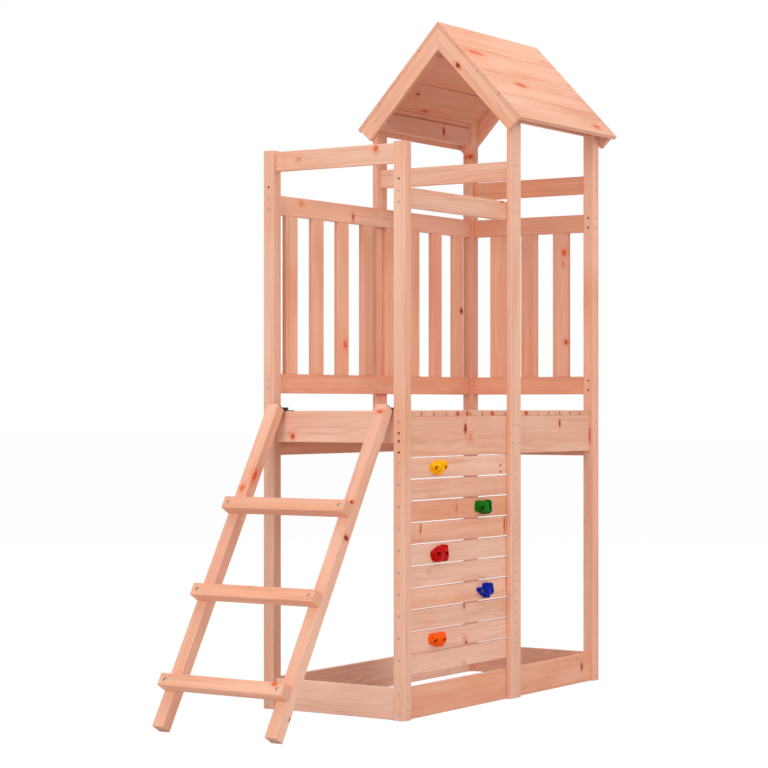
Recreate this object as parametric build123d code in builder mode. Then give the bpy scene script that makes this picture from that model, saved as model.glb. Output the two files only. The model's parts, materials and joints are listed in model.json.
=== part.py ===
from build123d import *
import os
from math import cos, radians, sin, tan

os.makedirs("parts", exist_ok=True)

# A wooden climbing frame with a raised deck, a ladder at its front end, a climbing
# wall and an open doorway on its right, fences at the left and rear, and a gable
# roof over its rear half. Millimetres. X runs from the ladder (low) to the rear
# (high), Y from the climbing wall side (low, called right) to the fenced side
# (high, called left), and Z is up. The origin is on the ground, under the middle
# of the box round the whole frame.

# Timber sections
post_size = 45              # square corner posts, ladder stiles and steps
board_thickness = 20
board_width = 70            # rails, pickets, wall boards and deck planks
upright_width = 72          # the flat uprights at the middle of both long sides
eased_edge = 2              # planed edges are taken off at 45 degrees

# Tower
tower_length = 1400
tower_width = 600
post_height = 1988          # the two front posts; the others rise to the roof
upright_start = 707         # from the tower's front to the middle uprights
ground_board_width = 110

# Deck
deck_height = 1061          # top of the planks
plank_thickness = 18
plank_count = 16
plank_clearance = 8         # from the posts to the first and last plank
side_beam_depth = 140
rear_beam_depth = 160
deck_front_depth = 110

# Rails and fences, as heights above the deck
fence_foot = 63
fence_top = 771
header_top = 922
left_picket_count = 8
left_picket_end_gap = 50
rear_picket_count = 3

# Climbing wall
wall_board_count = 10
wall_board_gap = 5.3
wall_drop = 4               # from the deck beam down to the top board

# Roof
ridge_height = 2520
roof_pitch = 46.5           # degrees from level
slope_length = 527
roof_board_count = 4
roof_board_gap = 1.5
roof_board_thickness = 16
rafter_depth = 56
rafter_end_inset = 5
roof_rear_overhang = 14     # of the boards past the rear rafters
eave_beam_foot = 2135

# Ladder
ladder_lean = 31            # degrees from upright
ladder_clearance = 1.5      # beside each stile, to the posts
ladder_gap = 12             # from the stiles' ends to the deck front board
stile_length = 1240
step_foots = (128, 463, 798)    # along the stile, from its foot to each step
bracket_gauge = 3
bracket_rise = 10           # from the deck top to the strap's underside
bracket_foot = 40           # reaches from the deck front board to the first plank
bracket_tab = 17

# Bolts
bolt_diameter = 8
bolt_clearance = 0.5
bolt_head_diameter = 13
bolt_head_height = 4.5
bolt_head_taper = 20        # degrees that the low dome draws in
bolt_recess = 5             # from the step's face down to the head's seat
washer_diameter = 22
washer_thickness = 2
nut_width = 13
nut_height = 6.5
bolt_tail = 3               # of thread past the nut
bolt_sides = 12             # bolts and washers are drawn with flats to stay light

# Climbing holds: distance from the tower's front to the hold's middle, and the
# wall board it is bolted to, counted from the top
holds = {
    "yellow": (216, 1),
    "green": (519, 3),
    "red": (223, 5),
    "blue": (533, 7),
    "orange": (210, 9),
}
hold_length = 80
hold_height = 58
hold_depth = 32
hold_shoulder = 0.62        # of the depth, where the sides turn in to the crown
hold_belly = 0.94           # of the outline, at the shoulder
hold_crown = 0.76           # of the outline, at the flat crown
hold_lift = 0.05            # of the height, that the crown stands above the middle
hold_bolt_spacing = 44
hold_bolt_head = 13
hold_bolt_head_height = 6
hold_seat = 12              # of plastic between the bolt head and the wall

# Outline of a hold against the wall, as shares of its length and height: broad and
# nearly level on top for the fingers, narrower below
hold_outline = [
    (-0.50, -0.12),
    (-0.42, 0.30),
    (-0.12, 0.46),
    (0.30, 0.50),
    (0.50, 0.30),
    (0.46, -0.22),
    (0.18, -0.50),
    (-0.22, -0.44),
]

# Places worked out from the sizes above
inset = (post_size - board_thickness) / 2   # boards run in the middle of the posts
lean = radians(ladder_lean)
pitch = radians(roof_pitch)
half_width = tower_width / 2
board_outside = half_width - inset          # outer face of the side boards
board_inside = board_outside - board_thickness
post_inside = half_width - post_size

stile_reach = stile_length * sin(lean)
ladder_reach = stile_reach + ladder_gap - inset + post_size * cos(lean)
tower_rear_reach = board_thickness + roof_rear_overhang
front = (ladder_reach - tower_length - tower_rear_reach) / 2
rear = front + tower_length
stile_top = front + inset - ladder_gap      # where the back of the stiles ends
upright_front = front + upright_start
upright_rear = upright_front + upright_width
beam_front = front + post_size
beam_rear = rear - post_size

beam_top = deck_height - plank_thickness
wall_top = beam_top - side_beam_depth - wall_drop
wall_pitch = board_width + wall_board_gap
fence_foot_height = deck_height + fence_foot
fence_rail_height = deck_height + fence_top - board_width
header_height = deck_height + header_top - board_width


def save(piece, name):
    """Label a finished piece and write it out."""
    piece.part.label = name
    export_step(piece.part, f"parts/{name}.step")


def mirrored(piece):
    """The piece's twin on the other long side."""
    with BuildPart() as twin:
        mirror(piece.part, about=Plane.XZ)
    return twin


def timber(x, y, z, grain):
    """A straight board or post between the given limits, its long edges eased."""
    planes = {
        Axis.X: (Plane.YZ.offset(x[0]), y, z, x),
        Axis.Y: (Plane.XZ.offset(-y[1]), x, z, y),
        Axis.Z: (Plane.XY.offset(z[0]), x, y, z),
    }
    plane, across, up, length = planes[grain]
    with BuildPart() as piece:
        with BuildSketch(plane) as section:
            with Locations(((across[0] + across[1]) / 2, (up[0] + up[1]) / 2)):
                Rectangle(across[1] - across[0], up[1] - up[0])
            chamfer(section.vertices(), eased_edge)
        extrude(amount=length[1] - length[0])
    return piece


def under_roof(piece, side_plane):
    """Saw a piece's top to the underside of the roof boards."""
    with BuildPart() as sawn:
        add(piece.part)
        split(bisect_by=side_plane.offset(-roof_board_thickness), keep=Keep.BOTTOM)
    return sawn


# Roof slope on the right: x along the ridge, y up the slope, z out of the roof
slope_plane = Plane(
    origin=(0, 0, ridge_height),
    x_dir=(1, 0, 0),
    z_dir=(0, -sin(pitch), cos(pitch)),
)

# Corner posts
front_right_post = timber(
    (front, front + post_size),
    (-half_width, -post_inside),
    (0, post_height),
    Axis.Z,
)
save(front_right_post, "front_right_post")
save(mirrored(front_right_post), "front_left_post")

rear_right_post = under_roof(
    timber((rear - post_size, rear), (-half_width, -post_inside), (0, ridge_height), Axis.Z),
    slope_plane,
)
save(rear_right_post, "rear_right_post")
save(mirrored(rear_right_post), "rear_left_post")



def middle_upright(foot):
    """A flat upright outside the boards on the right, from a height to the roof."""
    upright = timber(
        (upright_front, upright_rear),
        (-board_outside - board_thickness, -board_outside),
        (foot, ridge_height),
        Axis.Z,
    )
    return under_roof(upright, slope_plane)


# The right upright stands on the ground, the left one hangs on the deck beam
save(middle_upright(0), "middle_right_upright")
save(mirrored(middle_upright(beam_top - side_beam_depth)), "middle_left_upright")

# Spans that many boards share
side_layer = (-board_outside, -board_inside)
front_layer = (front + inset, front + inset + board_thickness)
rear_layer = (rear - inset - board_thickness, rear - inset)
between_ends = (beam_front, beam_rear)
between_sides = (-post_inside, post_inside)
first_bay = (beam_front, upright_rear)

# Boards round the foot of the frame
ground_span = (0, ground_board_width)
right_ground_board = timber(between_ends, side_layer, ground_span, Axis.X)
save(right_ground_board, "right_ground_board")
save(mirrored(right_ground_board), "left_ground_board")
save(timber(front_layer, between_sides, ground_span, Axis.Y), "front_ground_board")
save(timber(rear_layer, between_sides, ground_span, Axis.Y), "rear_ground_board")

# Beams that carry the deck
right_deck_beam = timber(
    between_ends, side_layer, (beam_top - side_beam_depth, beam_top), Axis.X
)
save(right_deck_beam, "right_deck_beam")
save(mirrored(right_deck_beam), "left_deck_beam")
save(
    timber(rear_layer, between_sides, (beam_top - rear_beam_depth, beam_top), Axis.Y),
    "rear_deck_beam",
)
save(
    timber(front_layer, between_sides, (deck_height - deck_front_depth, deck_height), Axis.Y),
    "deck_front_board",
)

# Deck planks, laid across the side beams and spaced evenly
first_plank = beam_front + plank_clearance
last_plank = beam_rear - plank_clearance - board_width
plank_pitch = (last_plank - first_plank) / (plank_count - 1)
with BuildPart() as deck_planks:
    for number in range(plank_count):
        plank_front = first_plank + number * plank_pitch
        plank = timber(
            (plank_front, plank_front + board_width),
            (-board_outside, board_outside),
            (beam_top, deck_height),
            Axis.Y,
        )
        add(plank.part)
save(deck_planks, "deck_planks")

# Rails that stand in the layer of the side and end boards
fence_foot_span = (fence_foot_height, fence_foot_height + board_width)
fence_rail_span = (fence_rail_height, fence_rail_height + board_width)
header_span = (header_height, header_height + board_width)
left_layer = (board_inside, board_outside)
save(timber(first_bay, side_layer, fence_rail_span, Axis.X), "right_top_rail")
save(timber(between_ends, left_layer, fence_rail_span, Axis.X), "left_fence_top_rail")
save(timber(between_ends, left_layer, fence_foot_span, Axis.X), "left_fence_bottom_rail")
save(timber(rear_layer, between_sides, fence_rail_span, Axis.Y), "rear_fence_top_rail")
save(timber(rear_layer, between_sides, fence_foot_span, Axis.Y), "rear_fence_bottom_rail")
save(timber(front_layer, between_sides, header_span, Axis.Y), "front_header_rail")
save(timber(rear_layer, between_sides, header_span, Axis.Y), "rear_header_rail")

# The cross bar between the middle uprights
upright_middle = (upright_front + upright_rear) / 2
save(
    timber(
        (upright_middle - board_thickness / 2, upright_middle + board_thickness / 2),
        (-board_outside, board_outside),
        header_span,
        Axis.Y,
    ),
    "middle_cross_bar",
)

# Pickets stand between the fence rails, in the same layer
picket_span = (fence_foot_span[1], fence_rail_span[0])
left_picket_first = beam_front + left_picket_end_gap
left_picket_last = beam_rear - left_picket_end_gap - board_width
left_picket_pitch = (left_picket_last - left_picket_first) / (left_picket_count - 1)
with BuildPart() as left_fence_pickets:
    for number in range(left_picket_count):
        picket_front = left_picket_first + number * left_picket_pitch
        picket = timber(
            (picket_front, picket_front + board_width), left_layer, picket_span, Axis.Z
        )
        add(picket.part)
save(left_fence_pickets, "left_fence_pickets")

rear_picket_gap = (2 * post_inside - rear_picket_count * board_width) / (rear_picket_count + 1)
with BuildPart() as rear_fence_pickets:
    for number in range(rear_picket_count):
        picket_right = -post_inside + rear_picket_gap + number * (rear_picket_gap + board_width)
        picket = timber(
            rear_layer, (picket_right, picket_right + board_width), picket_span, Axis.Z
        )
        add(picket.part)
save(rear_fence_pickets, "rear_fence_pickets")

# Roof boards, four to a slope, the top one mitred at the ridge
roof_front = upright_front - board_thickness
roof_rear = rear + board_thickness + roof_rear_overhang
roof_board_pitch = (slope_length + roof_board_gap) / roof_board_count
roof_board_width = roof_board_pitch - roof_board_gap
with BuildPart() as roof_boards_right:
    with BuildSketch(slope_plane):
        for number in range(roof_board_count):
            board_foot = -slope_length + number * roof_board_pitch
            with Locations(((roof_front + roof_rear) / 2, board_foot + roof_board_width / 2)):
                Rectangle(roof_rear - roof_front, roof_board_width)
    extrude(amount=-roof_board_thickness)
    split(bisect_by=Plane.XZ, keep=Keep.TOP)
save(roof_boards_right, "roof_boards_right")
save(mirrored(roof_boards_right), "roof_boards_left")

# Rafters under the boards' ends, mitred at the ridge and square at the eave
rafter_length = slope_length - rafter_end_inset
rafter_layers = {"front": roof_front, "rear": rear}
for place, rafter_front in rafter_layers.items():
    with BuildPart() as right_rafter:
        with BuildSketch(slope_plane.offset(-roof_board_thickness)):
            with Locations((rafter_front + board_thickness / 2, -rafter_length / 2)):
                Rectangle(board_thickness, rafter_length)
        extrude(amount=-rafter_depth)
        split(bisect_by=Plane.XZ, keep=Keep.TOP)
    save(right_rafter, f"{place}_right_rafter")
    save(mirrored(right_rafter), f"{place}_left_rafter")

# Eave beams, sawn along their outer top edge to lie under the roof boards
right_eave_beam = under_roof(
    timber(
        (upright_front, beam_rear),
        side_layer,
        (eave_beam_foot, eave_beam_foot + board_width),
        Axis.X,
    ),
    slope_plane,
)
save(right_eave_beam, "right_eave_beam")
save(mirrored(right_eave_beam), "left_eave_beam")

# Climbing wall boards, those with a hold bored for its two bolts
hold_bolt_places = [(-hold_bolt_spacing / 2, 0), (hold_bolt_spacing / 2, 0)]
hold_bore = (bolt_diameter + bolt_clearance) / 2
wall_heights = {}
for number in range(1, wall_board_count + 1):
    board_high = wall_top - (number - 1) * wall_pitch
    wall_heights[number] = board_high - board_width / 2
    blank = timber(first_bay, side_layer, (board_high - board_width, board_high), Axis.X)
    with BuildPart() as wall_board:
        add(blank.part)
        for along, hold_number in holds.values():
            if hold_number == number:
                face = Plane.XZ.offset(board_outside)
                face.origin += Vector(front + along, 0, wall_heights[number])
                with Locations(face):
                    with Locations(hold_bolt_places):
                        Hole(hold_bore, depth=board_thickness)
    save(wall_board, f"wall_board_{number:02d}")


def rod(diameter):
    """The section of a bolt, a head or a bore that a bolt fills, drawn with flats."""
    return RegularPolygon(radius=diameter / 2, side_count=bolt_sides)


def hold_section(share, rise):
    """The hold's outline drawn in to a share of its size and raised a little."""
    return Polygon(
        *[
            (hold_length * share * x, hold_height * (share * y + rise))
            for x, y in hold_outline
        ],
        align=None,
    )


def hold_plane(along, number, out):
    """A plane facing out of the wall, its origin at the middle of a hold."""
    return Plane(
        origin=(front + along, -board_outside - out, wall_heights[number]),
        x_dir=(1, 0, 0),
        z_dir=(0, -1, 0),
    )


# Climbing holds: a moulded lump, fullest on top, with a recess for each bolt
for colour, (along, number) in holds.items():
    with BuildPart() as hold:
        with BuildSketch(hold_plane(along, number, 0)):
            hold_section(1, 0)
        with BuildSketch(hold_plane(along, number, hold_depth * hold_shoulder)):
            hold_section(hold_belly, hold_lift / 2)
        with BuildSketch(hold_plane(along, number, hold_depth)):
            hold_section(hold_crown, hold_lift)
        loft(ruled=True)
        with Locations(hold_plane(along, number, hold_depth)):
            with Locations(hold_bolt_places):
                CounterBoreHole(
                    radius=hold_bore,
                    counter_bore_radius=hold_bolt_head / 2 + bolt_clearance,
                    counter_bore_depth=hold_depth - hold_seat,
                    depth=hold_depth,
                )
    save(hold, f"{colour}_hold")

# Hold bolts, and the nuts behind the wall
with BuildPart() as hold_bolts:
    for along, number in holds.values():
        with BuildSketch(hold_plane(along, number, hold_seat)):
            with Locations(hold_bolt_places):
                rod(hold_bolt_head)
        extrude(amount=hold_bolt_head_height)
        with BuildSketch(hold_plane(along, number, hold_seat)):
            with Locations(hold_bolt_places):
                rod(bolt_diameter)
        extrude(amount=-(hold_seat + board_thickness + nut_height + bolt_tail))
save(hold_bolts, "hold_bolts")

with BuildPart() as hold_nuts:
    for along, number in holds.values():
        with BuildSketch(hold_plane(along, number, -board_thickness)):
            with Locations(hold_bolt_places):
                RegularPolygon(radius=nut_width / 2, side_count=6, major_radius=False)
        extrude(amount=-nut_height)
        with BuildSketch(hold_plane(along, number, -board_thickness)):
            with Locations(hold_bolt_places):
                rod(bolt_diameter)
        extrude(amount=-nut_height, mode=Mode.SUBTRACT)
save(hold_nuts, "hold_nuts")

# Ladder: x to the right, y up the stiles, z out of the steps' side, from the line
# where the back of the stiles meets the ground
ladder_plane = Plane(
    origin=(stile_top - stile_reach, 0, 0),
    x_dir=(0, -1, 0),
    z_dir=(-cos(lean), 0, sin(lean)),
)
ladder_width = 2 * (post_inside - ladder_clearance)
stile_middle = (ladder_width - post_size) / 2
step_middles = [foot + post_size / 2 for foot in step_foots]
step_face = ladder_plane.offset(2 * post_size)

with BuildPart() as right_stile:
    with BuildSketch(ladder_plane):
        with Locations((stile_middle, stile_length / 2)):
            Rectangle(post_size, stile_length)
    extrude(amount=post_size)
    long_edges = right_stile.edges().sort_by(SortBy.LENGTH)[-4:]
    chamfer(long_edges, eased_edge)
    with Locations(ladder_plane.offset(post_size)):
        with Locations([(stile_middle, middle) for middle in step_middles]):
            Hole((bolt_diameter + bolt_clearance) / 2, depth=post_size)
save(right_stile, "right_stile")
save(mirrored(right_stile), "left_stile")

for number, middle in enumerate(step_middles, start=1):
    with BuildPart() as step:
        with BuildSketch(ladder_plane.offset(post_size)):
            with Locations((0, middle)):
                Rectangle(ladder_width, post_size)
        extrude(amount=post_size)
        chamfer(step.edges().filter_by(Axis.Y), eased_edge)
        with Locations(step_face):
            with Locations((stile_middle, middle), (-stile_middle, middle)):
                CounterBoreHole(
                    radius=(bolt_diameter + bolt_clearance) / 2,
                    counter_bore_radius=bolt_head_diameter / 2 + bolt_clearance,
                    counter_bore_depth=bolt_recess,
                    depth=post_size,
                )
    save(step, f"ladder_step_{number}")

# Bolts through each step end and stile, sunk in the step, a washer and nut behind
head_seat = step_face.offset(-bolt_recess)
nut_seat = ladder_plane.offset(-washer_thickness)
bolt_reach = 2 * post_size - bolt_recess + washer_thickness + nut_height + bolt_tail
with BuildPart() as ladder_bolts:
    for middle in step_middles:
        for across in (stile_middle, -stile_middle):
            with BuildSketch(head_seat):
                with Locations((across, middle)):
                    rod(bolt_head_diameter)
            extrude(amount=bolt_head_height, taper=bolt_head_taper)
            with BuildSketch(head_seat):
                with Locations((across, middle)):
                    rod(bolt_diameter)
            extrude(amount=-bolt_reach)
save(ladder_bolts, "ladder_bolts")

with BuildPart() as ladder_nuts:
    for middle in step_middles:
        for across in (stile_middle, -stile_middle):
            with BuildSketch(ladder_plane):
                with Locations((across, middle)):
                    rod(washer_diameter)
            extrude(amount=-washer_thickness)
            with BuildSketch(nut_seat):
                with Locations((across, middle)):
                    RegularPolygon(radius=nut_width / 2, side_count=6, major_radius=False)
            extrude(amount=-nut_height)
            with BuildSketch(ladder_plane):
                with Locations((across, middle)):
                    rod(bolt_diameter)
            extrude(amount=-(washer_thickness + nut_height), mode=Mode.SUBTRACT)
save(ladder_nuts, "ladder_nuts")

# Folded steel straps that hang the stiles on the deck: a tab on the stile's sawn
# end, a level run, a drop behind it and a foot screwed to the deck
strap_underside = deck_height + bracket_rise
stile_end_height = stile_length * cos(lean)
tab_bend = stile_top - (strap_underside - stile_end_height) / tan(lean)
drop_front = front + inset + board_thickness / 2
with BuildPart() as right_bracket:
    with BuildSketch(Plane.XZ.offset(post_inside - ladder_clearance)):
        with BuildLine():
            Polyline(
                (
                    tab_bend - bracket_tab * cos(lean),
                    strap_underside + bracket_tab * sin(lean),
                ),
                (tab_bend, strap_underside),
                (drop_front, strap_underside),
                (drop_front, deck_height),
                (drop_front + bracket_foot, deck_height),
            )
            offset(amount=bracket_gauge, side=Side.LEFT)
        make_face()
    extrude(amount=-post_size)
save(right_bracket, "right_ladder_bracket")
save(mirrored(right_bracket), "left_ladder_bracket")
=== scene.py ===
import json
import math
import random

import bmesh
import bpy
from mathutils import Matrix, Quaternion, Vector

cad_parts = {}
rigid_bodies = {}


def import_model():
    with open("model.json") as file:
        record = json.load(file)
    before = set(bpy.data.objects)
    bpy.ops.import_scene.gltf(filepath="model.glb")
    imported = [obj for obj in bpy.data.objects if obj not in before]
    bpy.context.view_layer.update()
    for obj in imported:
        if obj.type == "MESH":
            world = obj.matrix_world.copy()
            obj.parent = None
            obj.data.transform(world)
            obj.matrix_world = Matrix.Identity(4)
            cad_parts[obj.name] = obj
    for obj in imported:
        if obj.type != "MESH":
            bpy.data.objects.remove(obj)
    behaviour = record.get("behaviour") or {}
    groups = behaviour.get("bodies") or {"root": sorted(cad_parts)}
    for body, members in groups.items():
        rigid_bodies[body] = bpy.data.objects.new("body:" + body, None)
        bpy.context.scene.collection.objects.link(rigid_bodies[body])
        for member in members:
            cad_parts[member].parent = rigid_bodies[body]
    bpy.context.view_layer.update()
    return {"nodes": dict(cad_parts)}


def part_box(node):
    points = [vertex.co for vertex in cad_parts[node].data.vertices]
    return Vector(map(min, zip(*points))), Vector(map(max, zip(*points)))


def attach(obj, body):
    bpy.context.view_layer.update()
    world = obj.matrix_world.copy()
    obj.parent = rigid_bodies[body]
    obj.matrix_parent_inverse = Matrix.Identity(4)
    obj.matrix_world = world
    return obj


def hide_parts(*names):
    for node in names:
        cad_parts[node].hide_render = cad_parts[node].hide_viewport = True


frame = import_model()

nodes = frame["nodes"]
mm = 0.001


def nodeBox(name):
    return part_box(name)


# Where the tower stands, read from the frame
tower = {
    "front": nodeBox("front_right_post")[0].x,
    "rear": nodeBox("rear_right_post")[1].x,
    "side": nodeBox("front_left_post")[1].y,
    "ridge": nodeBox("roof_boards_right")[1].z,
    "roofPitch": math.radians(46.5),
    "ladderLean": math.radians(31),
    "post": 0.045,
    "board": 0.020,
}


def srgb(red, green, blue):
    """Screen values, 0 to 255, as the linear colour a shader takes."""
    def linear(value):
        value /= 255
        return value / 12.92 if value <= 0.04045 else ((value + 0.055) / 1.055) ** 2.4
    return (linear(red), linear(green), linear(blue), 1.0)


# ---- small helpers for node trees


def put(tree, kind, inputs=None, **settings):
    node = tree.nodes.new(kind)
    for name, value in settings.items():
        setattr(node, name, value)
    for key, value in (inputs or {}).items():
        if isinstance(value, bpy.types.NodeSocket):
            tree.links.new(value, node.inputs[key])
        else:
            node.inputs[key].default_value = value
    return node


def maths(tree, operation, first, second=None, third=None, clamp=False):
    inputs = {0: first}
    if second is not None:
        inputs[1] = second
    if third is not None:
        inputs[2] = third
    return put(tree, "ShaderNodeMath", inputs, operation=operation, use_clamp=clamp).outputs[0]


def vectorMaths(tree, operation, first, second=None, out=0):
    inputs = {0: first}
    if second is not None:
        inputs[1] = second
    return put(tree, "ShaderNodeVectorMath", inputs, operation=operation).outputs[out]


def scaled(tree, vector, scale):
    return vectorMaths(tree, "MULTIPLY", vector, scale)


def ramped(tree, value, low, high, outLow=0.0, outHigh=1.0, kind="SMOOTHSTEP"):
    return put(
        tree, "ShaderNodeMapRange",
        {"Value": value, "From Min": low, "From Max": high, "To Min": outLow, "To Max": outHigh},
        interpolation_type=kind,
    ).outputs[0]


def blended(tree, amount, first, second, mode="MIX"):
    node = tree.nodes.new("ShaderNodeMix")
    node.data_type = "RGBA"
    node.blend_type = mode
    for key, value in ((0, amount), (6, first), (7, second)):
        if isinstance(value, bpy.types.NodeSocket):
            tree.links.new(value, node.inputs[key])
        else:
            node.inputs[key].default_value = value
    return node.outputs[2]


def noise(tree, vector, detail=3.0, roughness=0.5, scale=1.0, out="Fac"):
    node = put(
        tree, "ShaderNodeTexNoise",
        {"Vector": vector, "Scale": scale, "Detail": detail, "Roughness": roughness},
    )
    return node.outputs[out]


# ---- the pine: one group that every board shares, with a seed for each board

pineLook = {
    "pale": srgb(241, 192, 166),
    # light: a paler tone, partly the wood's own and partly painted light for boards in shade
    "light": srgb(251, 207, 184),
    "body": srgb(232, 175, 147),
    "warm": srgb(230, 160, 124),
    "pink": srgb(226, 158, 138),
    "glow": srgb(232, 152, 114),
    "ringLine": srgb(207, 134, 104),
    "knotOrange": srgb(226, 100, 44),
    "knotRed": srgb(142, 14, 0),
    "knotRim": srgb(184, 60, 20),
    "endGrain": srgb(214, 160, 132),
    "ringSpacing": 0.0062,       # m between growth rings, on average
    "wander": 0.020,             # m that the rings drift along a board
    "knotCell": (0.46, 0.105),   # m of board that may hold one chance knot
}


def makePineGroup():
    group = bpy.data.node_groups.new("pineBoard", "ShaderNodeTree")
    face = group.interface
    for name, kind in (("Place", "NodeSocketVector"), ("Seed", "NodeSocketFloat"),
                       ("KnotGap", "NodeSocketFloat"), ("KnotTone", "NodeSocketFloat"),
                       ("ChanceKnots", "NodeSocketFloat"), ("End", "NodeSocketFloat"),
                       ("Warmth", "NodeSocketFloat"), ("Lightness", "NodeSocketFloat")):
        face.new_socket(name, in_out="INPUT", socket_type=kind)
    face.new_socket("Color", in_out="OUTPUT", socket_type="NodeSocketColor")
    face.new_socket("Roughness", in_out="OUTPUT", socket_type="NodeSocketFloat")
    face.new_socket("Height", in_out="OUTPUT", socket_type="NodeSocketFloat")
    tree = group
    given = tree.nodes.new("NodeGroupInput")
    place, seed = given.outputs["Place"], given.outputs["Seed"]

    # every board is cut from its own length of tree
    dice = put(tree, "ShaderNodeTexWhiteNoise", {"W": seed}, noise_dimensions="1D").outputs["Color"]
    diceXyz = put(tree, "ShaderNodeSeparateXYZ", {0: dice})
    shift = put(tree, "ShaderNodeCombineXYZ", {0: maths(tree, "MULTIPLY", seed, 3.71)}).outputs[0]
    grain = vectorMaths(tree, "ADD", place, shift)

    # chance knots, one at most to a cell
    cellLong, cellWide = pineLook["knotCell"]
    cells = scaled(tree, grain, (1 / cellLong, 1 / cellWide, 0))
    knotField = put(tree, "ShaderNodeTexVoronoi", {"Vector": cells, "Scale": 1.0, "Randomness": 0.85},
                    voronoi_dimensions="2D", feature="F1")
    toKnot = vectorMaths(tree, "SUBTRACT", cells, knotField.outputs["Position"])
    toKnot = scaled(tree, toKnot, (cellLong, cellWide, 0))
    knotDice = put(tree, "ShaderNodeSeparateColor", {0: knotField.outputs["Color"]})
    knotSize = ramped(tree, knotDice.outputs[1], 0, 1, 0.0035, 0.009, kind="LINEAR")
    stretched = scaled(tree, toKnot, (0.62, 1.0, 0))
    reach = vectorMaths(tree, "LENGTH", stretched, out=1)
    chanceGap = maths(tree, "DIVIDE", reach, knotSize)
    missing = maths(tree, "GREATER_THAN", knotDice.outputs[0], given.outputs["ChanceKnots"])
    chanceGap = maths(tree, "ADD", chanceGap, maths(tree, "MULTIPLY", missing, 60))
    gap = maths(tree, "MINIMUM", chanceGap, given.outputs["KnotGap"])
    ragged = noise(tree, scaled(tree, grain, (55, 110, 110)), detail=2)
    gap = maths(tree, "MULTIPLY", gap, ramped(tree, ragged, 0.2, 0.8, 0.72, 1.36, kind="LINEAR"))
    nearerGiven = maths(tree, "LESS_THAN", given.outputs["KnotGap"], chanceGap)
    tone = maths(
        tree, "ADD",
        maths(tree, "MULTIPLY", nearerGiven, given.outputs["KnotTone"]),
        maths(tree, "MULTIPLY", maths(tree, "SUBTRACT", 1, nearerGiven), knotDice.outputs[2]),
    )
    core = ramped(tree, gap, 0.75, 1.05, 1, 0)
    halo = ramped(tree, gap, 0.8, 2.8, 1, 0)

    # growth rings round a pith that lies off the board
    drift = noise(tree, scaled(tree, grain, (1.3, 3.0, 3.0)), detail=2, out="Color")
    drift = vectorMaths(tree, "SUBTRACT", drift, (0.5, 0.5, 0.5))
    drift = scaled(tree, drift, (0, pineLook["wander"] * 2, pineLook["wander"] * 2))
    pith = put(tree, "ShaderNodeCombineXYZ", {
        1: ramped(tree, diceXyz.outputs[0], 0, 1, -0.07, 0.07, kind="LINEAR"),
        2: ramped(tree, diceXyz.outputs[1], 0, 1, 0.035, 0.11, kind="LINEAR"),
    }).outputs[0]
    fromPith = vectorMaths(tree, "ADD", vectorMaths(tree, "SUBTRACT", place, pith), drift)
    radius = vectorMaths(tree, "LENGTH", scaled(tree, fromPith, (0, 1, 1)), out=1)
    bulge = maths(tree, "MULTIPLY", ramped(tree, gap, 0.0, 3.6, 1, 0), 0.006)
    radius = maths(tree, "ADD", radius, bulge)
    uneven = noise(tree, scaled(tree, grain, (1.4, 22, 22)), detail=2)
    radius = maths(tree, "ADD", radius, maths(tree, "MULTIPLY", uneven, 0.022))
    spacing = ramped(tree, diceXyz.outputs[2], 0, 1, pineLook["ringSpacing"] * 0.8,
                     pineLook["ringSpacing"] * 1.35, kind="LINEAR")
    ring = maths(tree, "FRACT", maths(tree, "DIVIDE", radius, spacing))
    late = maths(tree, "MULTIPLY", ramped(tree, ring, 0.25, 0.86), ramped(tree, ring, 0.88, 1.0, 1, 0))

    # broad streaks of tone, and the fine fibre
    broad = noise(tree, scaled(tree, grain, (0.9, 13, 13)), detail=3)
    patchy = noise(tree, scaled(tree, grain, (2.2, 6, 6)), detail=2)
    rosy = noise(tree, scaled(tree, vectorMaths(tree, "ADD", grain, (4.3, 0.2, 0.9)), (1.2, 8, 8)), detail=2)
    fibre = noise(tree, scaled(tree, grain, (9, 330, 330)), detail=3, roughness=0.65)
    fleck = noise(tree, scaled(tree, grain, (28, 700, 700)), detail=1)

    streak = noise(tree, scaled(tree, grain, (1.6, 55, 55)), detail=2)
    color = blended(tree, ramped(tree, broad, 0.32, 0.68), pineLook["pale"], pineLook["body"])
    color = blended(tree, ramped(tree, patchy, 0.46, 0.76, 0, 0.7), color, pineLook["warm"])
    color = blended(tree, ramped(tree, rosy, 0.5, 0.8, 0, 0.6), color, pineLook["pink"])
    color = blended(tree, given.outputs["Warmth"], color, pineLook["glow"])
    # a lighter tone, partly the board's own and partly painted light on boards left in shade
    color = blended(tree, given.outputs["Lightness"], color, pineLook["light"])
    color = blended(tree, ramped(tree, streak, 0.5, 0.75, 0, 0.32), color, pineLook["ringLine"])
    color = blended(tree, ramped(tree, streak, 0.28, 0.45, 0.35, 0), color, pineLook["pale"])
    lineStrength = ramped(tree, patchy, 0.3, 0.7, 0.05, 0.3)
    color = blended(tree, maths(tree, "MULTIPLY", late, lineStrength), color, pineLook["ringLine"])
    color = blended(tree, ramped(tree, fibre, 0.4, 0.75, 0, 0.16), color, pineLook["ringLine"])
    color = blended(tree, ramped(tree, fleck, 0.72, 0.8, 0, 0.22), color, pineLook["knotRed"])

    # sawn ends are duller
    color = blended(tree, maths(tree, "MULTIPLY", given.outputs["End"], 0.45), color, pineLook["endGrain"])

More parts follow.
